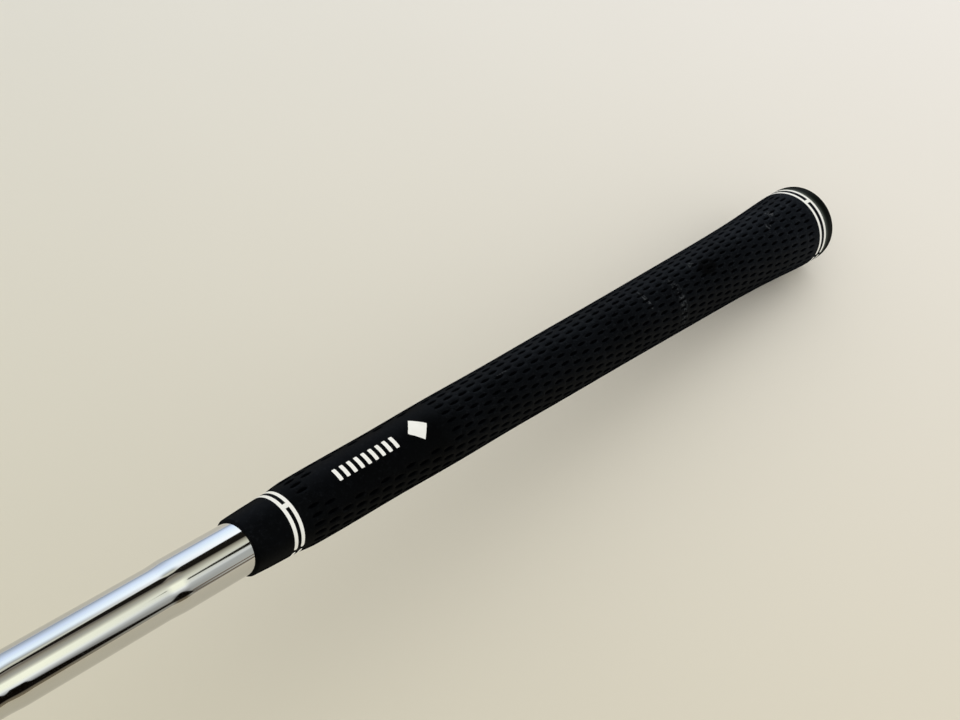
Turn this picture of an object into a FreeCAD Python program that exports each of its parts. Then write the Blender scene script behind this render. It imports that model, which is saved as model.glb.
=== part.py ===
import FreeCAD, Part
import math
import os

# A golf grip on the butt end of its stepped steel shaft, in millimetres.
#
# X runs along the club, from the sawn end of the shaft (x = 0) through the grip's mouth to the butt cap.
# Z is up, and the painted mark on the grip faces up. The origin is on the club's axis, in the plane of
# the shaft's sawn end.
#
# The rubber sleeve is moulded round a separate butt cap and slides over double-sided tape on the shaft.
# Its rings, ticks and mark are grooves filled with paint, and each fill is a piece of its own.

INCH = 25.4

# Shaft: a steel tube whose diameter grows by 0.020 inch at every step, 1.75 inches apart.
SHAFT_RADII = [d * INCH / 2 for d in (0.520, 0.540, 0.560, 0.580, 0.600)]
STEP_SPACING = 1.75 * INCH
STEP_TAPER = 4.0
TUBE_WALL = 0.55
EXPOSED_SHAFT = 85.0
MOUTH_TO_STEP = 22.6

# Tape: one layer from just inside the mouth to the butt, then folded over the tube's end into its bore.
TAPE_THICKNESS = 0.15
TAPE_SETBACK = 3.0
TAPE_TAIL = 10.0

# Sleeve: stations are measured from the mouth.
GRIP_LENGTH = 269.0
LIP_ROUND = 0.45
COLLAR = [(0.45, 7.95), (5.0, 8.24), (10.0, 8.45), (15.0, 8.64)]
RAMP_END = (19.2, 9.22)
BODY = [
    RAMP_END, (32.0, 9.45), (52.0, 9.57), (70.0, 9.92), (98.0, 10.08), (118.0, 10.37), (152.0, 10.80),
    (190.0, 11.43), (218.0, 11.97), (231.0, 12.42), (244.0, 13.15), (254.0, 13.74), (259.5, 13.96),
]
SLEEVE_END = (262.2, 14.0)

# Butt cap: a disc with a skirt that the sleeve is moulded over, and a vent hole. A fullness of 2 would make
# the section of its rim a quarter ellipse, and more brings it nearer to a square corner.
CAP_DISC = 4.8
CAP_FACE_RADIUS = 10.4
RIM_FULLNESS = 3.4
RIM_POINTS = 8
CAP_SKIRT_RADIUS = 10.2
CAP_SKIRT_LENGTH = 12.0
DISH_RADIUS = 8.2
DISH_DEPTH = 0.4
VENT_RADIUS = 1.0

# Paint fills
PAINT_DEPTH = 0.2
RING_WIDTH = 1.15
RING_GAP = 1.1
TICK_WIDTH = 1.4
MOUTH_RINGS = (12.13, 14.34)
CAP_RINGS = (258.64, 261.4)
BAR_WIDTH = 1.3
BAR_HEIGHT = 3.8
BAR_PITCH = 2.6
BAR_COUNT = 9
FIRST_BAR = 31.0
DIAMOND_SIZE = 7.4
DIAMOND_CENTRE = 60.8

# Derived stations along X
MOUTH = EXPOSED_SHAFT
BUTT_FACE = MOUTH + GRIP_LENGTH
TAPE_END = BUTT_FACE - CAP_DISC
SHAFT_END = TAPE_END - TAPE_THICKNESS
CAP_SEAM = MOUTH + SLEEVE_END[0]
SKIRT_START = CAP_SEAM - CAP_SKIRT_LENGTH
FIRST_STEP = MOUTH - MOUTH_TO_STEP - STEP_SPACING
STEPS = [FIRST_STEP + i * STEP_SPACING for i in range(len(SHAFT_RADII) - 1)]

X_AXIS = FreeCAD.Vector(1, 0, 0)
Y_AXIS = FreeCAD.Vector(0, 1, 0)
Z_AXIS = FreeCAD.Vector(0, 0, 1)
REACH = 20.0


def point(x, radius):
    return FreeCAD.Vector(x, 0, radius)


def line(start, end):
    return Part.makeLine(point(*start), point(*end))


def polyline(points):
    return [line(a, b) for a, b in zip(points, points[1:])]


def smooth(points):
    curve = Part.BSplineCurve()
    curve.interpolate([point(*p) for p in points])
    return curve.toShape()


def revolve(edges):
    """Turn a closed outline in the XZ plane, above the axis, into a solid round X."""
    face = Part.Face(Part.Wire(Part.sortEdges(edges)[0]))
    return face.revolve(FreeCAD.Vector(0, 0, 0), X_AXIS, 360)


def closed(points):
    return polyline(points + [points[0]])


def stepped(start, end, offset):
    """Points of the shaft's outline from start to end, moved outwards by offset."""
    points = [(start, shaft_radius(start) + offset)]
    for i, step in enumerate(STEPS):
        rise = [(step - STEP_TAPER / 2, SHAFT_RADII[i]), (step + STEP_TAPER / 2, SHAFT_RADII[i + 1])]
        points += [(x, radius + offset) for x, radius in rise if start < x < end]
    points.append((end, shaft_radius(end) + offset))
    return points


def shaft_radius(x):
    return SHAFT_RADII[sum(1 for step in STEPS if x > step)]


def make_shaft():
    outside = stepped(0, SHAFT_END, 0)
    bore = stepped(0, SHAFT_END, -TUBE_WALL)
    return revolve(closed(outside + bore[::-1]))


def make_tape():
    start = MOUTH + TAPE_SETBACK
    bore_radius = SHAFT_RADII[-1] - TUBE_WALL
    inside = stepped(start, SHAFT_END, 0)
    fold = [
        (SHAFT_END, bore_radius),
        (SHAFT_END - TAPE_TAIL, bore_radius),
        (SHAFT_END - TAPE_TAIL, bore_radius - TAPE_THICKNESS),
        (TAPE_END, bore_radius - TAPE_THICKNESS),
        (TAPE_END, SHAFT_RADII[-1] + TAPE_THICKNESS),
    ]
    outside = stepped(start, SHAFT_END, TAPE_THICKNESS)
    return revolve(closed(inside + fold + outside[::-1][1:]))


def sleeve_outline(inset):
    """Edges of the sleeve's outside, from the mouth to the cap seam, moved inwards by inset."""
    def move(points):
        return [(MOUTH + x, radius - inset) for x, radius in points]

    lip_end = COLLAR[0]
    bend = LIP_ROUND * (1 - math.sqrt(0.5))
    lip = [(0, lip_end[1] - LIP_ROUND), (bend, lip_end[1] - bend), lip_end]
    lip_arc = Part.Arc(*[point(*p) for p in move(lip)]).toShape()
    return [
        lip_arc,
        smooth(move(COLLAR)),
        line(*move([COLLAR[-1], RAMP_END])),
        smooth(move(BODY)),
        line(*move([BODY[-1], SLEEVE_END])),
    ]


def sleeve_envelope(inset):
    """The sleeve's outside as a filled solid."""
    mouth_radius = COLLAR[0][1] - LIP_ROUND - inset
    back = [(CAP_SEAM, SLEEVE_END[1] - inset), (CAP_SEAM, 0), (MOUTH, 0), (MOUTH, mouth_radius)]
    return revolve(sleeve_outline(inset) + polyline(back))


def make_sleeve(fills):
    tape_start = MOUTH + TAPE_SETBACK
    bare = shaft_radius(MOUTH)
    taped = stepped(tape_start, SKIRT_START, TAPE_THICKNESS)
    bore = [(MOUTH, 0), (MOUTH, bare), (tape_start, bare)] + taped
    bore += [(SKIRT_START, CAP_SKIRT_RADIUS), (CAP_SEAM, CAP_SKIRT_RADIUS), (CAP_SEAM, 0)]
    sleeve = sleeve_envelope(0).cut(revolve(closed(bore)))
    return sleeve.cut(fills)


def rim_points():
    """The cap's edge, from its seam to its face: a quarter ellipse swollen towards its corner."""
    power = 2 / RIM_FULLNESS
    length = BUTT_FACE - CAP_SEAM
    height = SLEEVE_END[1] - CAP_FACE_RADIUS
    points = [(CAP_SEAM, SLEEVE_END[1])]
    for i in range(1, RIM_POINTS):
        turn = math.pi / 2 * i / RIM_POINTS
        x = CAP_SEAM + length * math.sin(turn) ** power
        points.append((x, CAP_FACE_RADIUS + height * math.cos(turn) ** power))
    return points + [(BUTT_FACE, CAP_FACE_RADIUS)]


def make_cap():
    inner = SHAFT_RADII[-1] + TAPE_THICKNESS
    rim = smooth(rim_points())
    face = [
        (BUTT_FACE, CAP_FACE_RADIUS),
        (BUTT_FACE, DISH_RADIUS),
        (BUTT_FACE - DISH_DEPTH, DISH_RADIUS - DISH_DEPTH),
        (BUTT_FACE - DISH_DEPTH, VENT_RADIUS),
        (TAPE_END, VENT_RADIUS),
        (TAPE_END, inner),
        (SKIRT_START, inner),
        (SKIRT_START, CAP_SKIRT_RADIUS),
        (CAP_SEAM, CAP_SKIRT_RADIUS),
        (CAP_SEAM, SLEEVE_END[1]),
    ]
    return revolve([rim] + polyline(face))


def block(x_range, y_range, z_range):
    low = FreeCAD.Vector(x_range[0], y_range[0], z_range[0])
    size = [r[1] - r[0] for r in (x_range, y_range, z_range)]
    return Part.makeBox(*size, low)


def ring_fill(skin, station):
    """One ring of paint: two arcs with round ends, which stop short of the mould's parting lines."""
    x = MOUTH + station
    half_width = RING_WIDTH / 2
    arc_start = RING_GAP / 2 + half_width
    arcs = []
    for side in (1, -1):
        z_range = sorted((side * arc_start, side * REACH))
        arc = block((x - half_width, x + half_width), (-REACH, REACH), z_range)
        end_base = FreeCAD.Vector(x, -REACH, side * arc_start)
        arc = arc.fuse(Part.makeCylinder(half_width, 2 * REACH, end_base, Y_AXIS))
        arcs.append(skin.common(arc.removeSplitter()))
    return Part.makeCompound(arcs)


def tick_fill(skin, stations):
    """The short bar of paint that joins two rings on top."""
    x_range = (MOUTH + stations[0] + RING_WIDTH / 2, MOUTH + stations[1] - RING_WIDTH / 2)
    return skin.common(block(x_range, (-TICK_WIDTH / 2, TICK_WIDTH / 2), (0, REACH)))


def bar_fill(skin, station):
    """One upright bar of the mark, with round ends."""
    x = MOUTH + station
    half_width = BAR_WIDTH / 2
    half_height = BAR_HEIGHT / 2 - half_width
    bar = block((x - half_width, x + half_width), (-half_height, half_height), (0, REACH))
    for y in (-half_height, half_height):
        bar = bar.fuse(Part.makeCylinder(half_width, REACH, FreeCAD.Vector(x, y, 0), Z_AXIS))
    return skin.common(bar.removeSplitter())


def diamond_fill(skin):
    """The diamond at the butt end of the mark."""
    centre = FreeCAD.Vector(MOUTH + DIAMOND_CENTRE, 0, 0)
    half = DIAMOND_SIZE / 2
    corners = [centre + X_AXIS * half, centre + Y_AXIS * half]
    corners += [centre - X_AXIS * half, centre - Y_AXIS * half]
    face = Part.Face(Part.makePolygon(corners + [corners[0]]))
    return skin.common(face.extrude(Z_AXIS * REACH))


def mark_fill(skin):
    bars = [bar_fill(skin, FIRST_BAR + i * BAR_PITCH) for i in range(BAR_COUNT)]
    return Part.makeCompound(bars + [diamond_fill(skin)])


def build():
    skin = sleeve_envelope(0).cut(sleeve_envelope(PAINT_DEPTH))
    nodes = {
        "mouth_ring_front_paint": ring_fill(skin, MOUTH_RINGS[0]),
        "mouth_ring_rear_paint": ring_fill(skin, MOUTH_RINGS[1]),
        "mouth_ring_tick_paint": tick_fill(skin, MOUTH_RINGS),
        "cap_ring_front_paint": ring_fill(skin, CAP_RINGS[0]),
        "cap_ring_rear_paint": ring_fill(skin, CAP_RINGS[1]),
        "cap_ring_tick_paint": tick_fill(skin, CAP_RINGS),
        "side_mark_paint": mark_fill(skin),
    }
    fills = [solid for fill in nodes.values() for solid in fill.Solids]
    nodes["shaft_butt"] = make_shaft()
    nodes["grip_tape"] = make_tape()
    nodes["grip_sleeve"] = make_sleeve(fills)
    nodes["end_cap"] = make_cap()
    return nodes


os.makedirs("parts", exist_ok=True)
for name, shape in build().items():
    shape.exportStep("parts/" + name + ".step")
    print(name, "solids", len(shape.Solids), "valid", shape.isValid(), "volume", round(shape.Volume, 1))
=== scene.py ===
import math

import bmesh
import bpy
import numpy as np
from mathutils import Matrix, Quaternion, Vector


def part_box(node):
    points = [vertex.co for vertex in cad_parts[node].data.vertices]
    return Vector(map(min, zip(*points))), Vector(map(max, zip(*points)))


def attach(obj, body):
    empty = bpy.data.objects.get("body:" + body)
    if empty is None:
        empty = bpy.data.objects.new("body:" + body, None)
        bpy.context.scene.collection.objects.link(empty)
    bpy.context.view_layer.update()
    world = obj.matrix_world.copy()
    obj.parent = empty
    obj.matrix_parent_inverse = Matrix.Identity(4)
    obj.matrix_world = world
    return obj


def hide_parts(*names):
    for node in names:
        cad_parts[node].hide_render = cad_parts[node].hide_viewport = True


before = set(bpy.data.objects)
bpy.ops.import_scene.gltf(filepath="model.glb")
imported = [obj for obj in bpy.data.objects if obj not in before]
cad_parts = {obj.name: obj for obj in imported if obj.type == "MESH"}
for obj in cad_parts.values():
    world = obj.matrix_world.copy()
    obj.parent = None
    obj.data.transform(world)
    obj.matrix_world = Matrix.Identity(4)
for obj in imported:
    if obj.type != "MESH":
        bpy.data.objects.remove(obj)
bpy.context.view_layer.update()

# The looks of a rubber golf grip on its chromed shaft, in metres and in the frame of the CAD model: X runs
# along the club to the butt cap, Z is up and the painted mark faces up. Angles round the club are measured
# from +Z toward -Y, and stations along the grip from its mouth.

MM = 0.001
TURN = 2 * math.pi

# Places read from the frame
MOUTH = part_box("grip_sleeve")[0].x
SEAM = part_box("grip_sleeve")[1].x
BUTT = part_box("end_cap")[1].x
SKIRT_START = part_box("end_cap")[0].x

# Camera
VIEW_TARGET = Vector((185.25 * MM, 10.93 * MM, 4.74 * MM))
VIEW_YAW = math.radians(65.90)
VIEW_ELEVATION = math.radians(43.29)
VIEW_ROLL = math.radians(28.16)
VIEW_DISTANCE = 448.99 * MM
LENS_MM = 58.125
SENSOR_MM = 36.0

# Dimples: columns round the grip, each turned by half a dimple from the last. The pitch of the columns and
# the count of dimples in each change with the station. A dimple is drawn as rings inside each other, given
# by their size, their depth in millimetres and their share of its painted shade.
FIRST_COLUMN = 19.85
LAST_COLUMN = 253.0
PITCH_STATIONS = (72, 200, 253)
PITCHES = (4.75, 4.93, 5.15)
COUNT_STATIONS = (0, 76, 150, 177, 235, 240, 245, 250)
COUNTS = (23, 25, 28, 30, 31, 33, 34, 36)
DIMPLE_HALF_LENGTH = 1.92 * MM
DIMPLE_HALF_WIDTH = 0.50 * MM
DIMPLE_POINTEDNESS = 1.2
DIMPLE_RINGS = ((1.09, 0.0, 0.0), (0.96, 0.06, 0.45), (0.74, 0.34, 1.0))
DIMPLE_DEPTH = 0.44
DIMPLE_POINTS = 16
CELL_HALF_LENGTH = 2.3 * MM
CELL_GAP = 0.1 * MM

# The smooth panel under the mark, and the neck that joins it to the rings. The neck's half angle grows by
# NECK_WIDENING with every millimetre.
PANEL_START = 26.0
PANEL_END = 70.5
PANEL_HALF_ANGLE = math.radians(46)
PANEL_CORNER = 0.35
NECK_START = 15.0
NECK_CENTRE = math.radians(4)
NECK_WIDENING = math.radians(2.1)

# Light
ROOM_COLOUR = (0.78, 0.77, 0.74)
WINDOW_PLACE = (0.50, 0.25, 1.40)
WINDOW_TARGET = (0.2, 0.0, 0.0)
WINDOW_SIZE = 1.5
WINDOW_POWER = 4.7
WINDOW_COLOUR = (0.96, 0.98, 1.0)

# The table top. The club rests on its cap and is held up by the shaft, so the table falls away under the
# mouth. Its colour is that under the origin, and the change of it in a metre along X and along Y, down to
# the darkest. This change is painted light, paler and cooler toward the window at +X and +Y.
FLOOR_RISE = 0.20
FLOOR_X = (-0.9, 0.6)
FLOOR_Y = (-0.42, 0.42)
FLOOR_COLOUR = (0.716, 0.674, 0.533)
FLOOR_CHANGE_X = (0.378, 0.393, 0.570)
FLOOR_CHANGE_Y = (0.086, 0.167, 0.323)
FLOOR_DARKEST = (0.54, 0.50, 0.35)
FLOOR_GAP = 0.05 * MM

# Paint films
SKIN_DROP = 0.03 * MM
FILM_TOP = 0.004 * MM
FILM_EDGE = 0.05 * MM
FILM_BOTTOM = 0.15 * MM
FILM_STEP = 0.25 * MM
FILM_END = 0.04 * MM
FILM_END_POINTS = 10
FILM_SPANS = (-1.0, -0.95, -0.8, 0.0, 0.8, 0.95, 1.0)
FILM_DROPS = (1.0, 0.25, 0.0, 0.0, 0.0, 0.25, 1.0)
RING_GAP = 1.1 * MM
RING_CORNER = 0.98
TICK_WIDTH = 1.4 * MM
TICK_REACH = 0.12 * MM
TICK_SINK = 0.004 * MM
BAR_COUNT = 9
BAR_START = 31.0
BAR_PITCH = 2.6
BAR_WIDTH = 1.3 * MM
BAR_HEIGHT = 3.8 * MM
BAR_CORNER = 0.3 * MM
DIAMOND_CENTRE = 60.8
DIAMOND_SIZE = 7.4 * MM
DIAMOND_TIP = 0.05 * MM

# How finely the turned surfaces are drawn, and how their edges are rounded
LATHE_SEGMENTS = 160
OUTLINE_BINS = 260
PLAIN_STEP = 1.0 * MM
LIP_ROUND = 0.45 * MM
LIP_POINTS = 6
SEAM_BREAK = 0.15 * MM
SAWN_BREAK = 0.12 * MM
STEP_SPREAD = 1.5 * MM
STEP_POINTS = 24
CAP_SHOULDER = ((0.0, 0.12), (0.1, 0.02))
DISH_EDGE = ((0, 0.75), (0.03, 0.58), (0.12, 0.42), (0.3, 0.2), (0.38, 0.08), (0.4, -0.2))
VENT_EDGE = ((0, 0.3), (0.03, 0.12), (0.12, 0.03), (0.3, 0))

# Slack for telling the CAD's outlines apart
NEARBY = 0.1 * MM


# ---------------------------------------------------------------- shapes read from the CAD nodes

def node_rings(node):
    """The (x, radius) of every vertex of a CAD node, without repeats, sorted along X."""
    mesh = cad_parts[node].data
    co = np.empty(len(mesh.vertices) * 3)
    mesh.vertices.foreach_get("co", co)
    co = co.reshape(-1, 3)
    pairs = np.stack([co[:, 0], np.hypot(co[:, 1], co[:, 2])], axis=1)
    return np.unique(np.round(pairs, 6), axis=0)


def outside_of(pairs, bins):
    """The widest point in each bin along X, without the bins that only hold points of a bore."""
    edges = np.linspace(pairs[0, 0], pairs[-1, 0], bins + 1)
    which = np.clip(np.searchsorted(edges, pairs[:, 0], side="right") - 1, 0, bins - 1)
    groups = [pairs[which == i] for i in range(bins) if (which == i).any()]
    widest = [group[np.argmax(group[:, 1])] for group in groups]
    kept = [widest[0]]
    for pair in widest[1:]:
        if pair[1] >= kept[-1][1]:
            kept.append(pair)
    return np.array(kept)


SLEEVE_PAIRS = node_rings("grip_sleeve")
SLEEVE_OUTSIDE = outside_of(SLEEVE_PAIRS, OUTLINE_BINS)


def cad_radius(x):
    """Radius of the CAD sleeve's outside at x."""
    return float(np.interp(x, SLEEVE_OUTSIDE[:, 0], SLEEVE_OUTSIDE[:, 1]))


# ---------------------------------------------------------------- meshes round the X axis

class Shell:
    """Points given by station, angle and radius, the faces between them, and how far each point is down a
    dimple, from 0 to 1, which sets the painted shade in the dimples."""

    def __init__(self):
        self.points = []
        self.pits = []
        self.faces = []

    def point(self, x, angle, radius, pit=0.0):
        self.points.append((x, -radius * math.sin(angle), radius * math.cos(angle)))
        self.pits.append(pit)
        return len(self.points) - 1

    def ring(self, x, radius, count, phase=0.0):
        """A closed ring as (angle, point), in order of angle."""
        angles = [phase + i * TURN / count for i in range(count)]
        return [(angle, self.point(x, angle, radius)) for angle in angles]

    def bridge(self, first, second):
        """Quads between two rings of the same number of points."""
        for i in range(len(first)):
            j = (i + 1) % len(first)
            self.faces.append((first[i][1], first[j][1], second[j][1], second[i][1]))

    def zip_rings(self, first, second):
        """Triangles between two rings that may differ in number and start."""
        i = j = 0
        a, b = len(first), len(second)
        while i < a or j < b:
            next_first = first[(i + 1) % a][0] + TURN * ((i + 1) // a)
            next_second = second[(j + 1) % b][0] + TURN * ((j + 1) // b)
            if j == b or (i < a and next_first <= next_second):
                self.faces.append((first[i % a][1], first[(i + 1) % a][1], second[j % b][1]))
                i += 1
            else:
                self.faces.append((first[i % a][1], second[(j + 1) % b][1], second[j % b][1]))
                j += 1

    def lathe(self, profile, closed=True):
        """A turned surface through (x, radius) pairs. Returns its first and last rings."""
        rings = [self.ring(x, radius, LATHE_SEGMENTS) for x, radius in profile]
        for first, second in zip(rings, rings[1:]):
            self.bridge(first, second)
        if closed:
            self.bridge(rings[-1], rings[0])
        return rings[0], rings[-1]

    def grid(self, rows):
        """Quads between rows of points."""
        for first, second in zip(rows, rows[1:]):
            for i in range(len(first) - 1):
                self.faces.append((first[i], first[i + 1], second[i + 1], second[i]))

    def piece(self, name, node, material, sharp_angle=50):
        """The mesh as an object that stands for a CAD node."""
        mesh = bpy.data.meshes.new(name)
        mesh.from_pydata(self.points, [], self.faces)
        pit = mesh.attributes.new("pit", "FLOAT", "POINT")
        pit.data.foreach_set("value", self.pits)
        shell = bmesh.new()
        shell.from_mesh(mesh)
        bmesh.ops.recalc_face_normals(shell, faces=shell.faces)
        shell.to_mesh(mesh)
        shell.free()
        mesh.shade_smooth()
        mesh.set_sharp_from_angle(angle=math.radians(sharp_angle))
        mesh.materials.append(material)
        obj = bpy.data.objects.new(name, mesh)
        bpy.context.scene.collection.objects.link(obj)
        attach(obj, "root")
        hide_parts(node)
        return obj


# ---------------------------------------------------------------- the rubber sleeve

def column_stations():
    """Where the dimple columns are."""
    stations = [FIRST_COLUMN]
    while stations[-1] < LAST_COLUMN - 1:
        stations.append(stations[-1] + float(np.interp(stations[-1], PITCH_STATIONS, PITCHES)))
    return stations


def in_panel(station, angle):
    """Whether a dimple here would be on the smooth panel under the mark, or on its neck."""
    if station < PANEL_START:
        return abs(math.remainder(angle - NECK_CENTRE, TURN)) < NECK_WIDENING * (station - NECK_START)
    along = abs(2 * (station - PANEL_START) / (PANEL_END - PANEL_START) - 1)
    around = abs(math.remainder(angle, TURN)) / PANEL_HALF_ANGLE
    corner = max(0.0, along - 1 + PANEL_CORNER) ** 2 + max(0.0, around - 1 + PANEL_CORNER) ** 2
    return along < 1 and around < 1 and corner < PANEL_CORNER ** 2


def skin_point(shell, x, angle, depth=0.0, pit=0.0):
    """A point on the rubber's outside, or under it."""
    return shell.point(x, angle, cad_radius(x) - SKIN_DROP - depth, pit)


def dimple_outline(scale, radius):
    """Offsets (along, round) on a pointed lens, from its +X tip toward growing angles."""
    turns = [i * TURN / DIMPLE_POINTS for i in range(DIMPLE_POINTS)]
    along = [scale * DIMPLE_HALF_LENGTH * math.cos(t) for t in turns]
    around = [math.copysign(abs(math.sin(t)) ** DIMPLE_POINTEDNESS, math.sin(t)) for t in turns]
    return [(a, scale * DIMPLE_HALF_WIDTH * r / radius) for a, r in zip(along, around)]


def fill_cell(shell, loop, x, angle, dimpled):
    """Closes one cell of the pattern, from its outline inward: a dimple, or plain rubber."""
    radius = cad_radius(x)
    outer = loop
    rings = DIMPLE_RINGS if dimpled else ()
    for scale, depth, pit in rings:
        offsets = dimple_outline(scale, radius)
        inner = [skin_point(shell, x + a, angle + r, depth * MM, pit) for a, r in offsets]
        for i in range(DIMPLE_POINTS):
            j = (i + 1) % DIMPLE_POINTS
            shell.faces.append((outer[i], outer[j], inner[j], inner[i]))
        outer = inner
    middle = skin_point(shell, x, angle, DIMPLE_DEPTH * MM * dimpled, float(dimpled))
    for i in range(DIMPLE_POINTS):
        shell.faces.append((outer[i], outer[(i + 1) % DIMPLE_POINTS], middle))


def dimple_column(shell, station, count, turned):
    """One column of cells. Returns the rings at its two sides."""
    x = MOUTH + station * MM
    spacing = TURN / count
    phase = spacing / 2 if turned else 0.0
    sides = []
    for side in (x - CELL_HALF_LENGTH, x + CELL_HALF_LENGTH):
        sides.append(shell.ring(side, cad_radius(side) - SKIN_DROP, 4 * count, phase - spacing / 2))
    offsets = (-CELL_HALF_LENGTH / 2, 0.0, CELL_HALF_LENGTH / 2)
    seams = [[skin_point(shell, x + d, phase + (i - 0.5) * spacing) for d in offsets] for i in range(count)]
    for i in range(count):
        near = [sides[0][(4 * i + k) % (4 * count)][1] for k in range(5)]
        far = [sides[1][(4 * i + k) % (4 * count)][1] for k in range(5)]
        low, high = seams[i], seams[(i + 1) % count]
        loop = far[2:5] + high[::-1] + near[::-1] + low + far[0:2]
        angle = phase + i * spacing
        fill_cell(shell, loop, x, angle, not in_panel(station, angle))
    return sides


def bore_profile():
    """The sleeve's inside, from the seam with the cap back to the mouth."""
    lip = cad_radius(MOUTH) - LIP_ROUND
    bore = [tuple(p) for p in SLEEVE_PAIRS if p[1] < lip - NEARBY]
    skirt = max(r for x, r in node_rings("end_cap") if x < SKIRT_START + NEARBY)
    socket = [(SEAM, skirt), (SKIRT_START, skirt)]
    return socket + [(SKIRT_START, bore[-1][1])] + bore[::-1]


def stations_between(start, end, step):
    """Evenly spaced places, both ends included."""
    count = max(1, round((end - start) / step))
    return [start + (end - start) * i / count for i in range(count + 1)]


def rubber_skin(material):
    """The sleeve's rubber, dimpled, with its mouth, bore and seam."""
    shell = Shell()
    stations = column_stations()
    front, rear = [], []
    lip_radius = cad_radius(MOUTH + LIP_ROUND) - SKIN_DROP
    for i in range(LIP_POINTS, 0, -1):
        turn = (i - 1) * TURN / 4 / LIP_POINTS
        along, inward = 1 - math.sin(turn), 1 - math.cos(turn)
        front.append((MOUTH + LIP_ROUND * along, lip_radius - LIP_ROUND * inward))
    first_side = MOUTH + stations[0] * MM - CELL_HALF_LENGTH
    for x in stations_between(MOUTH + LIP_ROUND, first_side - CELL_GAP, PLAIN_STEP)[1:]:
        front.append((x, cad_radius(x) - SKIN_DROP))
    mouth_ring, last = shell.lathe([(MOUTH, lip_radius - LIP_ROUND)] + front, closed=False)
    for i, station in enumerate(stations):
        count = COUNTS[int(np.searchsorted(COUNT_STATIONS, station, side="right")) - 1]
        sides = dimple_column(shell, station, count, (len(stations) + i) % 2)
        shell.zip_rings(last, sides[0])
        last = sides[1]
    last_side = MOUTH + stations[-1] * MM + CELL_HALF_LENGTH
    for x in stations_between(last_side + CELL_GAP, SEAM - SEAM_BREAK, PLAIN_STEP):
        rear.append((x, cad_radius(x) - SKIN_DROP))
    rear.append((SEAM, cad_radius(SEAM) - SEAM_BREAK))
    inside = bore_profile()
    rear_ring, end = shell.lathe(rear + inside, closed=False)
    shell.zip_rings(last, rear_ring)
    shell.bridge(end, mouth_ring)
    return shell.piece("rubber_skin", "grip_sleeve", material, 70)


# ---------------------------------------------------------------- cap, shaft and paint

def cap_moulding(material):
    """The butt cap: a rounded rim, a shallow dish with a vent hole, and the skirt inside the sleeve."""
    pairs = node_rings("end_cap")
    hole = min(p[1] for p in pairs)
    hole_ends = [p[0] for p in pairs if p[1] < hole + NEARBY]
    back, dish_floor = min(hole_ends), max(hole_ends)
    tube = min(p[1] for p in pairs if p[0] < SEAM)
    skirt = max(p[1] for p in pairs if p[0] < SKIRT_START + NEARBY)
    dish = max(p[1] for p in pairs if abs(p[0] - dish_floor) < 0.1 * NEARBY)
    profile = [(SEAM + along * MM, cad_radius(SEAM) - inward * MM) for along, inward in CAP_SHOULDER]
    profile += [tuple(p) for p in pairs if p[0] > SEAM + SEAM_BREAK and p[1] > skirt]
    profile += [(BUTT - along * MM, dish + out * MM) for along, out in DISH_EDGE]
    profile += [(dish_floor - along * MM, hole + out * MM) for along, out in VENT_EDGE]
    profile += [(back, hole), (back, tube), (SKIRT_START, tube), (SKIRT_START, skirt), (SEAM, skirt)]
    shell = Shell()
    shell.lathe(profile)
    return shell.piece("cap_moulding", "end_cap", material)


def smooth_steps(pairs):
    """A stepped profile whose rises are drawn as long, smooth S curves."""
    flats = []
    for i, pair in enumerate(pairs):
        beside = pairs[max(0, i - 1):i] + pairs[i + 1:i + 2]
        if any(abs(pair[1] - other[1]) < 1e-7 for other in beside):
            flats.append(pair)
    profile = [flats[0]]
    for (x0, r0), (x1, r1) in zip(flats, flats[1:]):
        if r1 - r0 < 1e-6:
            continue
        start, length = x0 - STEP_SPREAD, x1 - x0 + 2 * STEP_SPREAD
        for i in range(STEP_POINTS + 1):
            t = i / STEP_POINTS
            profile.append((start + length * t, r0 + (r1 - r0) * t ** 3 * (10 - 15 * t + 6 * t * t)))
    return profile + [flats[-1]]


def chrome_tube(material):
    """The stepped tube with a sawn end, whose edges are lightly broken."""
    pairs = node_rings("shaft_butt")
    stations = sorted(set(p[0] for p in pairs))
    outside = [(x, max(p[1] for p in pairs if p[0] == x)) for x in stations]
    wall = outside[0][1] - min(p[1] for p in pairs if p[0] == stations[0])
    outside = smooth_steps(outside)
    (x0, r0), (x1, r1) = outside[0], outside[-1]
    front = [(x0, r0 - SAWN_BREAK), (x0 + SAWN_BREAK, r0)]
    back = [(x1 - SAWN_BREAK, r1), (x1, r1 - SAWN_BREAK)]
    outer = front + outside[1:-1] + back
    inner = [(x, r - wall) for x, r in outside[::-1]]
    shell = Shell()
    shell.lathe(outer + inner)
    return shell.piece("chrome_tube", "shaft_butt", material)


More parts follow.
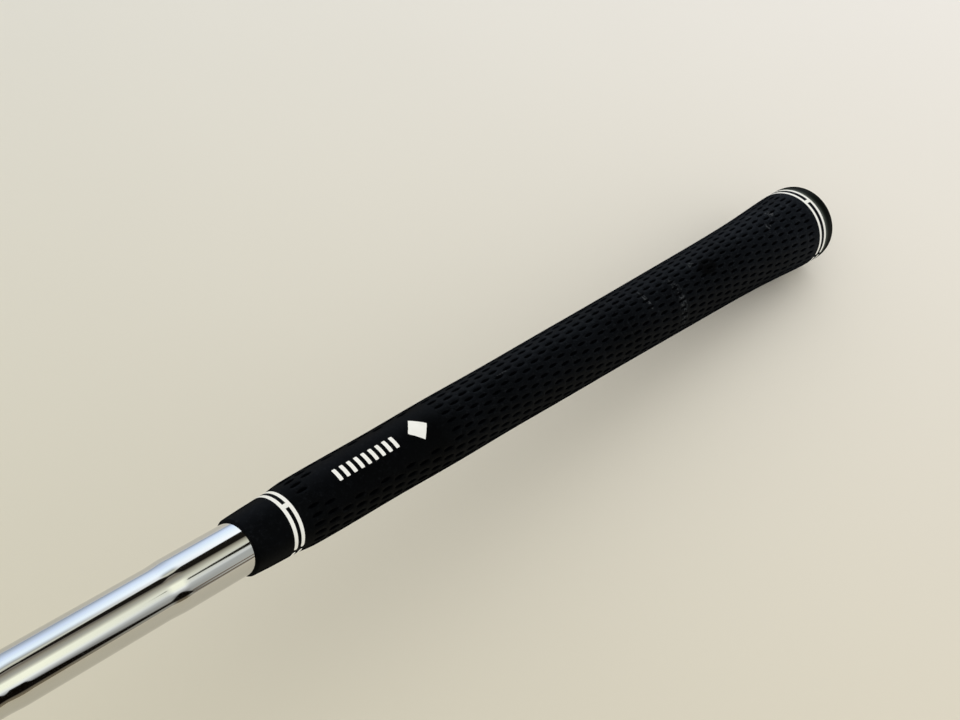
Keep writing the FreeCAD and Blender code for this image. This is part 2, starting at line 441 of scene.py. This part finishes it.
def film(shell, x, angle, half_arc, half_width, sink=0.0):
    """A soft-edged film of paint round the club, centred at x and angle. half_width(d) is its half width
    along X at distance d from its ends, where d runs from 0 to half_arc."""
    radius = cad_radius(x)
    turns = [i * TURN / 4 / FILM_END_POINTS for i in range(FILM_END_POINTS)]
    fine = [half_arc * (1 - math.cos(turn)) / 4 for turn in turns]
    distances = fine + stations_between(fine[-1], half_arc, FILM_STEP)[1:]
    offsets = [d - half_arc for d in distances] + [half_arc - d for d in distances[-2::-1]]
    tops, bottoms = [], []
    for offset in offsets:
        width = half_width(half_arc - abs(offset))
        end = min(1.0, (half_arc - abs(offset)) / FILM_END)
        top, bottom = [], []
        for span, drop in zip(FILM_SPANS, FILM_DROPS):
            place = x + span * width
            depth = FILM_TOP + sink + FILM_EDGE * max(drop, 1 - end)
            top.append(shell.point(place, angle + offset / radius, cad_radius(place) - depth))
            bottom.append(shell.point(place, angle + offset / radius, cad_radius(place) - FILM_BOTTOM))
        tops.append(top)
        bottoms.append(bottom)
    shell.grid(tops)
    shell.grid([row[::-1] for row in bottoms])
    shell.grid([tops[0], bottoms[0]])
    shell.grid([bottoms[-1], tops[-1]])
    shell.grid([[row[0] for row in bottoms], [row[0] for row in tops]])
    shell.grid([[row[-1] for row in tops], [row[-1] for row in bottoms]])


def rounded_end(half_width, corner):
    """Half width of a strip with rounded corners, as a function of the distance from its end."""
    def width(distance):
        inside = max(0.0, corner - distance)
        return half_width - corner + math.sqrt(corner * corner - inside * inside)
    return width


def ring_film(node, material):
    """One painted ring: two half turns, with a gap at each side of the grip."""
    low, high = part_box(node)
    x = (low.x + high.x) / 2
    half_width = (high.x - low.x) / 2
    half_arc = cad_radius(x) * TURN / 4 - RING_GAP / 2
    shell = Shell()
    for angle in (0.0, TURN / 2):
        film(shell, x, angle, half_arc, rounded_end(half_width, RING_CORNER * half_width))
    return shell.piece(node.replace("_paint", "_film"), node, material)


def tick_film(node, material):
    """The short line that joins two rings, reaching a little under both."""
    low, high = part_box(node)
    half_width = (high.x - low.x) / 2 + TICK_REACH
    shell = Shell()
    film(shell, (low.x + high.x) / 2, 0.0, TICK_WIDTH / 2, lambda distance: half_width, TICK_SINK)
    return shell.piece(node.replace("_paint", "_film"), node, material)


def mark_film(material):
    """The generic mark: a row of bars and a diamond."""
    shell = Shell()
    for i in range(BAR_COUNT):
        x = MOUTH + (BAR_START + i * BAR_PITCH) * MM
        film(shell, x, 0.0, BAR_HEIGHT / 2, rounded_end(BAR_WIDTH / 2, BAR_CORNER))
    centre = MOUTH + DIAMOND_CENTRE * MM
    film(shell, centre, 0.0, DIAMOND_SIZE / 2, lambda distance: max(distance, DIAMOND_TIP))
    return shell.piece("side_mark_film", "side_mark_paint", material)


# ---------------------------------------------------------------- materials

class Tree:
    """Short calls for adding linked nodes to one shader tree."""

    def __init__(self, tree):
        self.tree = tree

    def add(self, kind, inputs, **settings):
        node = self.tree.nodes.new(kind)
        for name, value in settings.items():
            setattr(node, name, value)
        for key, value in inputs.items():
            if isinstance(value, bpy.types.NodeSocket):
                self.tree.links.new(value, node.inputs[key])
            else:
                node.inputs[key].default_value = value
        return node

    def math(self, operation, first, second=0.0, third=0.0, clamp=False):
        inputs = {0: first, 1: second, 2: third}
        return self.add("ShaderNodeMath", inputs, operation=operation, use_clamp=clamp).outputs[0]

    def noise(self, vector, scale, detail=3.0, roughness=0.55):
        inputs = {"Vector": vector, "Scale": scale, "Detail": detail, "Roughness": roughness}
        return self.add("ShaderNodeTexNoise", inputs).outputs[0]

    def stretch(self, vector, scale):
        return self.add("ShaderNodeMapping", {"Vector": vector, "Scale": scale}).outputs[0]

    def spread(self, value, low, high, to_low=0.0, to_high=1.0):
        inputs = {"Value": value, "From Min": low, "From Max": high, "To Min": to_low, "To Max": to_high}
        return self.add("ShaderNodeMapRange", inputs, interpolation_type="SMOOTHSTEP").outputs[0]

    def mix(self, factor, first, second, blend="MIX"):
        inputs = {0: factor, 6: first, 7: second}
        return self.add("ShaderNodeMix", inputs, data_type="RGBA", blend_type=blend).outputs[2]

    def ramp(self, factor, stops):
        node = self.add("ShaderNodeValToRGB", {"Fac": factor})
        elements = node.color_ramp.elements
        while len(elements) < len(stops):
            elements.new(0.5)
        for element, (place, colour) in zip(elements, stops):
            element.position = place
            element.color = (*colour, 1.0)
        return node.outputs[0]

    def bump(self, height, distance, strength=1.0, normal=None):
        inputs = {"Height": height, "Distance": distance, "Strength": strength}
        if normal is not None:
            inputs["Normal"] = normal
        return self.add("ShaderNodeBump", inputs).outputs[0]


def new_material(name):
    """An empty node material. Returns it with its tree and its coordinates in metres."""
    material = bpy.data.materials.new(name)
    material.use_nodes = True
    material.node_tree.nodes.clear()
    tree = Tree(material.node_tree)
    where = tree.add("ShaderNodeTexCoord", {}).outputs["Object"]
    return material, tree, where


def close_material(tree, **inputs):
    """Adds the surface shader and the output."""
    names = {key.replace("_", " "): value for key, value in inputs.items()}
    surface = tree.add("ShaderNodeBsdfPrincipled", names)
    tree.add("ShaderNodeOutputMaterial", {"Surface": surface.outputs[0]})


def places(tree, where):
    """Station from the mouth in millimetres and angle round the club in degrees."""
    split = tree.add("ShaderNodeSeparateXYZ", {"Vector": where}).outputs
    station = tree.math("MULTIPLY_ADD", split["X"], 1 / MM, -MOUTH / MM)
    angle = tree.math("ARCTAN2", tree.math("MULTIPLY", split["Y"], -1.0), split["Z"])
    return station, tree.math("DEGREES", angle)


def edge_gloss(tree):
    """1 where a surface is seen square on, and 0 toward its outline: matt rubber has no edge shine."""
    facing = tree.add("ShaderNodeLayerWeight", {"Blend": 0.5}).outputs["Facing"]
    return tree.spread(facing, 0.45, 0.85, 1.0, 0.0)


def patch(tree, station, angle, centre, size):
    """1 at the centre (station, angle) of an oval patch of this half size, falling to 0 at its edge."""
    along = tree.math("DIVIDE", tree.math("SUBTRACT", station, centre[0]), size[0])
    around = tree.math("DIVIDE", tree.math("SUBTRACT", angle, centre[1]), size[1])
    square = tree.math("ADD", tree.math("MULTIPLY", along, along), tree.math("MULTIPLY", around, around))
    return tree.math("SUBTRACT", 1.0, square, clamp=True)


def greys(*stops):
    """Stops of a ramp, from pairs of place and shade."""
    return [(place, (shade, shade, shade)) for place, shade in stops]


# Painted light along the rubber's length: share of the length, and shade. It is darkest over the smooth
# panel and lightest toward the butt, where the flaring body faces the light.
PAINTED_LIGHT_ALONG = greys(
    (0.0, 0.30), (0.06, 0.25), (0.25, 0.11), (0.29, 0.35),
    (0.57, 0.40), (0.62, 0.47), (0.86, 0.58), (0.92, 0.74),
)

# Painted light round the grip: share of a turn from the underside, and shade. The side toward the window
# is lighter and the underside darker.
PAINTED_LIGHT_ROUND = greys(
    (0.20, 0.60), (0.36, 1.35), (0.41, 1.20), (0.47, 0.95),
    (0.52, 0.85), (0.60, 0.76), (0.68, 0.60), (0.80, 0.55),
)

# Colours of the rubber, before painted light and dust shade them
LAND_COLOUR = (0.0074, 0.0092, 0.0126, 1.0)
DUST_COLOUR = (0.029, 0.034, 0.042, 1.0)
SCUFF_COLOUR = (0.06, 0.065, 0.07, 1.0)
SMUDGE_COLOUR = (0.0006, 0.0006, 0.0008, 1.0)
# Painted shade at the bottoms of the dimples
PIT_PAINTED_SHADE = (0.0004, 0.0005, 0.0008, 1.0)
NO_PAINTED_LIGHT = (1.0, 1.0, 1.0, 1.0)

# Light scuffs as centre (station, angle), half size and strength, and one dark smudge
SMUDGE = ((197.0, 7.0), (5.5, 17.0))
RUBBER_SCUFFS = (
    ((178.5, 36.0), (2.0, 60.0), 1.5),
    ((240.9, -16.0), (1.8, 7.5), 3.0),
    ((234.7, 1.0), (1.6, 6.5), 2.0),
    ((233.9, -33.0), (1.6, 7.0), 1.0),
    ((191.4, -9.5), (2.2, 5.0), 2.0),
    ((164.0, 7.0), (0.9, 26.0), 2.0),
    ((98.5, -11.0), (5.0, 1.6), 1.0),
)


def rubber_material():
    """Soft black rubber: fine matt grain, dust on the land, painted light along and round the grip, dimples
    darkened with painted shade, and a few light scuffs.
    """
    material, tree, where = new_material("sleeve_rubber")
    station, angle = places(tree, where)
    pit = tree.add("ShaderNodeAttribute", {}, attribute_name="pit").outputs["Fac"]
    clouds = tree.noise(where, 60.0, 4.0)
    grain = tree.noise(where, 2600.0, 3.0, 0.65)
    cloth = tree.noise(where, 520.0, 4.0, 0.7)
    specks = tree.noise(where, 1300.0, 4.0, 0.75)
    # Painted light: lighter toward the butt and on the side toward the window, darker underneath. The shade
    # round the grip fades out toward the butt.
    painted_light = tree.ramp(tree.math("DIVIDE", station, SEAM / MM - MOUTH / MM), PAINTED_LIGHT_ALONG)
    around = tree.ramp(tree.math("MULTIPLY_ADD", angle, 1 / 360, 0.5), PAINTED_LIGHT_ROUND)
    around = tree.mix(tree.spread(station, 215.0, 250.0, 1.0, 0.35), NO_PAINTED_LIGHT, around)
    painted_light = tree.mix(1.0, painted_light, around, "MULTIPLY")
    land = tree.mix(1.0, LAND_COLOUR, painted_light, "MULTIPLY")
    cloudy = tree.ramp(clouds, greys((0.3, 0.7), (0.7, 1.3)))
    land = tree.mix(1.0, land, cloudy, "MULTIPLY")
    dust = tree.math("MULTIPLY", tree.spread(cloth, 0.44, 0.62), tree.spread(specks, 0.46, 0.66))
    dusty = tree.mix(1.0, DUST_COLOUR, painted_light, "MULTIPLY")
    land = tree.mix(tree.math("MULTIPLY", dust, 0.8), land, dusty)
    scuff = 0.0
    for centre, size, strength in RUBBER_SCUFFS:
        spot = tree.math("MULTIPLY", patch(tree, station, angle, centre, size), strength)
        scuff = tree.math("MAXIMUM", scuff, spot)
    flecks = tree.spread(tree.noise(where, 900.0, 4.0, 0.7), 0.46, 0.66)
    scuff = tree.math("MULTIPLY", scuff, flecks, clamp=True)
    land = tree.mix(tree.math("MULTIPLY", scuff, 0.7), land, SCUFF_COLOUR)
    smudge = tree.spread(patch(tree, station, angle, *SMUDGE), 0.0, 0.6)
    land = tree.mix(tree.math("MULTIPLY", smudge, 0.85), land, SMUDGE_COLOUR)
    # Painted shade: the dimples darken toward their bottoms
    colour = tree.mix(tree.math("MULTIPLY", pit, 0.9), land, PIT_PAINTED_SHADE)
    rough = tree.spread(grain, 0.3, 0.7, 0.46, 0.60)
    side = tree.math("ABSOLUTE", tree.math("SUBTRACT", tree.math("ABSOLUTE", angle), 90.0))
    parting = tree.spread(side, 0.0, 1.2, 1.0, 0.0)
    low = tree.bump(cloth, 0.05 * MM, 0.35)
    fine = tree.bump(grain, 0.02 * MM, 0.5, low)
    normal = tree.bump(parting, 0.03 * MM, 0.6, fine)
    level = tree.math("MULTIPLY", tree.math("MULTIPLY_ADD", pit, -0.022, 0.025), edge_gloss(tree))
    close_material(tree, Base_Color=colour, Roughness=rough, Normal=normal, Specular_IOR_Level=level)
    return material


# A painted highlight lies on the cap's shoulder beside the seam, and fades over this many millimetres
CAP_HIGHLIGHT_LENGTH = 0.55
CAP_HIGHLIGHT_COLOUR = (0.13, 0.15, 0.13, 1.0)
CAP_DUST_COLOUR = (0.020, 0.023, 0.020, 1.0)
WORN_PAINT_COLOUR = (0.35, 0.35, 0.33, 1.0)


def cap_material():
    """Firmer rubber with a moulded satin skin, and a painted highlight on its shoulder beside the seam."""
    material, tree, where = new_material("cap_rubber")
    clouds = tree.noise(where, 90.0, 4.0)
    grain = tree.noise(where, 3200.0, 3.0, 0.6)
    colour = tree.ramp(clouds, ((0.35, (0.0012, 0.0018, 0.0014)), (0.65, (0.0020, 0.0028, 0.0022))))
    dust = tree.spread(tree.noise(where, 1400.0, 4.0, 0.7), 0.6, 0.74)
    colour = tree.mix(tree.math("MULTIPLY", dust, 0.2), colour, CAP_DUST_COLOUR)
    rough = tree.spread(clouds, 0.3, 0.7, 0.38, 0.50)
    x = tree.add("ShaderNodeSeparateXYZ", {"Vector": where}).outputs["X"]
    # Painted highlight: lightest at the seam and fading outward, made uneven by the clouds
    from_seam = tree.math("MULTIPLY_ADD", x, 1 / MM, -SEAM / MM)
    painted_highlight = tree.math("EXPONENT", tree.math("DIVIDE", from_seam, -CAP_HIGHLIGHT_LENGTH))
    uneven = tree.spread(clouds, 0.3, 0.7, 0.8, 1.2)
    colour = tree.mix(tree.math("MULTIPLY", painted_highlight, uneven, clamp=True), colour, CAP_HIGHLIGHT_COLOUR)
    normal = tree.bump(grain, 0.015 * MM, 0.45)
    level = tree.math("MULTIPLY", edge_gloss(tree), 0.025)
    close_material(tree, Base_Color=colour, Roughness=rough, Normal=normal, Specular_IOR_Level=level)
    return material


def paint_material():
    """White paint, slightly warm, a little uneven and worn thin in places."""
    material, tree, where = new_material("white_paint")
    clouds = tree.noise(where, 220.0, 4.0)
    grain = tree.noise(where, 2400.0, 3.0, 0.6)
    colour = tree.ramp(clouds, ((0.3, (0.88, 0.88, 0.83)), (0.7, (0.96, 0.96, 0.92))))
    worn = tree.spread(tree.noise(where, 1100.0, 5.0, 0.75), 0.66, 0.78)
    colour = tree.mix(tree.math("MULTIPLY", worn, 0.5), colour, WORN_PAINT_COLOUR)
    rough = tree.spread(grain, 0.3, 0.7, 0.42, 0.6)
    normal = tree.bump(grain, 0.012 * MM, 0.4)
    close_material(tree, Base_Color=colour, Roughness=rough, Normal=normal, Specular_IOR_Level=0.4)
    return material


def chrome_material():
    """Polished chrome plate with faint lengthwise buffing lines and smears."""
    material, tree, where = new_material("chrome_plate")
    buffing = tree.noise(tree.stretch(where, (12.0, 1500.0, 1500.0)), 1.0, 3.0, 0.6)
    smears = tree.noise(tree.stretch(where, (40.0, 160.0, 160.0)), 1.0, 4.0, 0.6)
    colour = tree.ramp(smears, greys((0.3, 0.58), (0.7, 0.62)))
    buffed = tree.spread(buffing, 0.35, 0.65, 0.03, 0.075)
    rough = tree.math("ADD", buffed, tree.spread(smears, 0.5, 0.8, 0.0, 0.04))
    normal = tree.bump(buffing, 0.0015 * MM, 0.25)
    close_material(tree, Base_Color=colour, Metallic=1.0, Roughness=rough, Normal=normal)
    return material


def tape_material():
    """Tan crepe-paper grip tape."""
    material, tree, where = new_material("crepe_tape")
    crepe = tree.noise(tree.stretch(where, (2200.0, 500.0, 500.0)), 1.0, 4.0, 0.6)
    clouds = tree.noise(where, 150.0, 3.0)
    shade = tree.math("MULTIPLY_ADD", crepe, 0.6, tree.math("MULTIPLY", clouds, 0.4))
    colour = tree.ramp(shade, ((0.3, (0.42, 0.34, 0.22)), (0.7, (0.62, 0.53, 0.38))))
    normal = tree.bump(crepe, 0.06 * MM, 0.8)
    close_material(tree, Base_Color=colour, Roughness=0.85, Normal=normal)
    return material


# ---------------------------------------------------------------- staging

def floor():
    """A plain pale tabletop, with painted light: paler and cooler toward the window."""
    material, tree, where = new_material("pale_top")
    split = tree.add("ShaderNodeSeparateXYZ", {"Vector": where}).outputs
    # Painted light: the top grows paler and cooler along +X and +Y, toward the window
    colour = FLOOR_COLOUR
    for place, change in ((split["X"], FLOOR_CHANGE_X), (split["Y"], FLOOR_CHANGE_Y)):
        inputs = {0: place, 1: change, 2: colour}
        colour = tree.add("ShaderNodeVectorMath", inputs, operation="MULTIPLY_ADD").outputs[0]
    inputs = {0: colour, 1: FLOOR_DARKEST}
    colour = tree.add("ShaderNodeVectorMath", inputs, operation="MAXIMUM").outputs[0]
    wander = tree.ramp(tree.noise(where, 5.0, 2.0), greys((0.3, 0.98), (0.7, 1.0)))
    colour = tree.mix(1.0, colour, wander, "MULTIPLY")
    normal = tree.bump(tree.noise(where, 1800.0, 2.0), 0.01 * MM, 0.2)
    close_material(tree, Base_Color=colour, Roughness=0.75, Normal=normal, Specular_IOR_Level=0.2)
    mesh = bpy.data.meshes.new("table_top")
    height = min(-radius - FLOOR_RISE * x for x, radius in node_rings("end_cap")) - FLOOR_GAP
    edges = [(x, y) for x, ys in ((FLOOR_X[0], FLOOR_Y), (FLOOR_X[1], FLOOR_Y[::-1])) for y in ys]
    corners = [(x, y, height + FLOOR_RISE * x) for x, y in edges]
    mesh.from_pydata(corners, [], [(0, 1, 2, 3)])
    mesh.materials.append(material)
    obj = bpy.data.objects.new("table_top", mesh)
    bpy.context.scene.collection.objects.link(obj)


def area_light(name, place, target, size, power, colour):
    """A square soft light, not seen in reflections."""
    light = bpy.data.lights.new(name, "AREA")
    light.size = size
    light.energy = power
    light.color = colour
    obj = bpy.data.objects.new(name, light)
    obj.location = place
    obj.rotation_mode = "QUATERNION"
    obj.rotation_quaternion = (Vector(target) - Vector(place)).to_track_quat("-Z", "Y")
    obj.visible_glossy = False
    bpy.context.scene.collection.objects.link(obj)


# What share of the light the chrome gives back, which the room makes up for
CHROME_REFLECTANCE = 0.6

# Surfaces of the room that polished metal shows, as screen tones
WALL = (160, 160, 150)
SKY_LOW = (150, 160, 173)
SKY = (205, 220, 243)
WINDOW = (226, 240, 250)
CURTAIN = (245, 250, 253)
FRAME = (48, 46, 38)
SHELF = (100, 92, 82)
SHADE = (134, 130, 116)
CEILING = (195, 195, 178)
PALE_CEILING = (193, 196, 194)
LAMP = (240, 242, 220)
LAMP_EDGE = (225, 229, 223)
GREY_WALL = (158, 161, 158)
DIM_WALL = (120, 120, 118)
UNDERSIDE = (90, 82, 68)
WOOD = (120, 110, 88)
PALE_WOOD = (168, 160, 145)

BLACK_EDGE = (22, 20, 16)
FLOOR_EDGE = (9, 6, 3)
BROWN_EDGE = (88, 68, 50)
BROWN_SEAM = (88, 72, 54)

# Where each of them is by angle round the club, for metal that looks along the club, and for metal that
# looks more steeply up. The change from one to the other is between these X of the look's direction.
STEEP_TO_ALONG = (0.39, 0.51)
ROOM_ALONG = (
    (-180, WALL), (-90, SKY_LOW), (-76, SKY), (-58, WINDOW), (-38, CURTAIN), (-30, CURTAIN),
    (-6, FRAME), (1, SHADE), (16, CEILING), (44, PALE_CEILING), (50, GREY_WALL), (94, WALL),
    (98, PALE_WOOD), (180, WALL),
)
ROOM_STEEP = (
    (-180, WALL), (-90, SKY_LOW), (-65, SKY), (-50, WINDOW), (-43, WINDOW), (-31, GREY_WALL),
    (-25, CEILING), (-19, WALL), (-9, SHELF), (-2, SHADE), (11, WALL), (17, CEILING), (23, LAMP),
    (39, LAMP), (49, LAMP_EDGE), (53, PALE_CEILING), (65, DIM_WALL), (87, UNDERSIDE), (101, WOOD),
    (119, WALL), (180, WALL),
)

# Dark lines over them, as the angle of the middle. Their half width changes by so many degrees for a change
# of 1 in the look's X, from a start.
UPPER_LINE = -17.0
UPPER_LINE_START = 0.335
UPPER_LINE_GROWTH = 65.0
UPPER_LINE_LEAST = 2.0
UPPER_LINE_MORE = 1.5
THIN_LINE = 29.5
THIN_LINE_START = 0.453
THIN_LINE_GROWTH = 92.0
FLOOR_LINE_END = 85.0
FLOOR_LINE_START = 0.459
FLOOR_LINE_GROWTH = -71.0
FLOOR_LINE_AT_START = 4.5
FLOOR_LINE_MOST = 15.0
FLOOR_LINE_FADE = (0.465, 0.495)

# Brown lines, which come in where the floor's line goes: middle, half width and tone
BROWN_LINES = ((77.0, 1.8, BROWN_EDGE), (88.0, 2.4, BROWN_SEAM))
BROWN_FADE = (0.455, 0.485)


def tone(red, green, blue):
    """A screen tone from 0 to 255 as linear light."""
    values = [v / 255 for v in (red, green, blue)]
    return tuple(v / 12.92 if v < 0.04045 else ((v + 0.055) / 1.055) ** 2.4 for v in values)


def dark_line(tree, bands, angle, centre, half_width, soft, colour, strength=1.0):
    """These bands with a line over them, round this angle and with edges this soft."""
    away = tree.math("ABSOLUTE", tree.math("SUBTRACT", angle, centre))
    inside = tree.spread(tree.math("SUBTRACT", half_width, away), -soft / 2, soft / 2)
    return tree.mix(tree.math("MULTIPLY", inside, strength), bands, (*tone(*colour), 1.0))


def dark_lines(tree, bands, angle, along):
    """These bands with all their lines: two dark edges, the floor's edge and the brown lines."""
    def widening(start, growth):
        """Degrees that change at this rate from 0 at this start."""
        return tree.math("MULTIPLY", tree.math("SUBTRACT", along, start), growth)

    half = tree.math("MAXIMUM", widening(UPPER_LINE_START, UPPER_LINE_GROWTH), UPPER_LINE_LEAST)
    half = tree.math("ADD", half, UPPER_LINE_MORE)
    bands = dark_line(tree, bands, angle, UPPER_LINE, half, 3.0, BLACK_EDGE)
    half = widening(THIN_LINE_START, THIN_LINE_GROWTH)
    bands = dark_line(tree, bands, angle, THIN_LINE, half, 1.2, BLACK_EDGE)
    half = tree.math("ADD", widening(FLOOR_LINE_START, FLOOR_LINE_GROWTH), FLOOR_LINE_AT_START)
    half = tree.math("MINIMUM", half, FLOOR_LINE_MOST)
    middle = tree.math("SUBTRACT", FLOOR_LINE_END, half)
    left = tree.spread(along, *FLOOR_LINE_FADE, 1.0, 0.0)
    bands = dark_line(tree, bands, angle, middle, half, 3.0, FLOOR_EDGE, left)
    brown = tree.spread(along, *BROWN_FADE)
    for centre, half, colour in BROWN_LINES:
        bands = dark_line(tree, bands, angle, centre, half, 1.5, colour, brown)
    return bands


def room():
    """Soft light from all round. What polished metal shows of the room is drawn as bands that run along
    the club: a window, dark edges, a wall and the horizon."""
    world = bpy.data.worlds.new("soft_room")
    world.use_nodes = True
    world.node_tree.nodes.clear()
    tree = Tree(world.node_tree)
    where = tree.add("ShaderNodeTexCoord", {}).outputs["Generated"]
    split = tree.add("ShaderNodeSeparateXYZ", {"Vector": where}).outputs
    along = split["X"]
    angle = tree.math("DEGREES", tree.math("ARCTAN2", tree.math("MULTIPLY", split["Y"], -1.0), split["Z"]))
    turned = tree.math("MULTIPLY_ADD", angle, 1 / 360, 0.5)
    views = []
    for stops in (ROOM_STEEP, ROOM_ALONG):
        views.append(tree.ramp(turned, [((a + 180) / 360, tone(*t)) for a, t in stops]))
    start, end = STEEP_TO_ALONG
    share = tree.math("DIVIDE", tree.math("SUBTRACT", along, start), end - start, clamp=True)
    bands = dark_lines(tree, tree.mix(share, *views), angle, along)
    glossy = tree.add("ShaderNodeLightPath", {}).outputs["Is Glossy Ray"]
    colour = tree.mix(glossy, (*ROOM_COLOUR, 1.0), bands)
    strength = tree.math("MULTIPLY_ADD", glossy, 1 / CHROME_REFLECTANCE - 1, 1.0)
    back = tree.add("ShaderNodeBackground", {"Color": colour, "Strength": strength})
    tree.add("ShaderNodeOutputWorld", {"Surface": back.outputs[0]})
    bpy.context.scene.world = world


def camera():
    """The photograph's viewpoint, lens and roll."""
    data = bpy.data.cameras.new("view")
    data.lens = LENS_MM
    data.sensor_width = SENSOR_MM
    data.clip_start = 0.01
    flat = math.cos(VIEW_ELEVATION)
    forward = Vector((flat * math.sin(VIEW_YAW), flat * math.cos(VIEW_YAW), -math.sin(VIEW_ELEVATION)))
    obj = bpy.data.objects.new("view", data)
    obj.location = VIEW_TARGET - VIEW_DISTANCE * forward
    obj.rotation_mode = "QUATERNION"
    obj.rotation_quaternion = Quaternion(forward, -VIEW_ROLL) @ forward.to_track_quat("-Z", "Y")
    bpy.context.scene.collection.objects.link(obj)
    bpy.context.scene.camera = obj


def build():
    """Every piece of the grip. The tape keeps its CAD shape, with a better material."""
    paint = paint_material()
    rubber_skin(rubber_material())
    cap_moulding(cap_material())
    chrome_tube(chrome_material())
    for end in ("mouth", "cap"):
        ring_film(end + "_ring_front_paint", paint)
        ring_film(end + "_ring_rear_paint", paint)
        tick_film(end + "_ring_tick_paint", paint)
    mark_film(paint)
    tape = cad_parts["grip_tape"]
    tape.data.materials.clear()
    tape.data.materials.append(tape_material())


build()
floor()
room()
area_light("window", WINDOW_PLACE, WINDOW_TARGET, WINDOW_SIZE, WINDOW_POWER, WINDOW_COLOUR)
camera()
bpy.context.scene.view_settings.view_transform = "Standard"
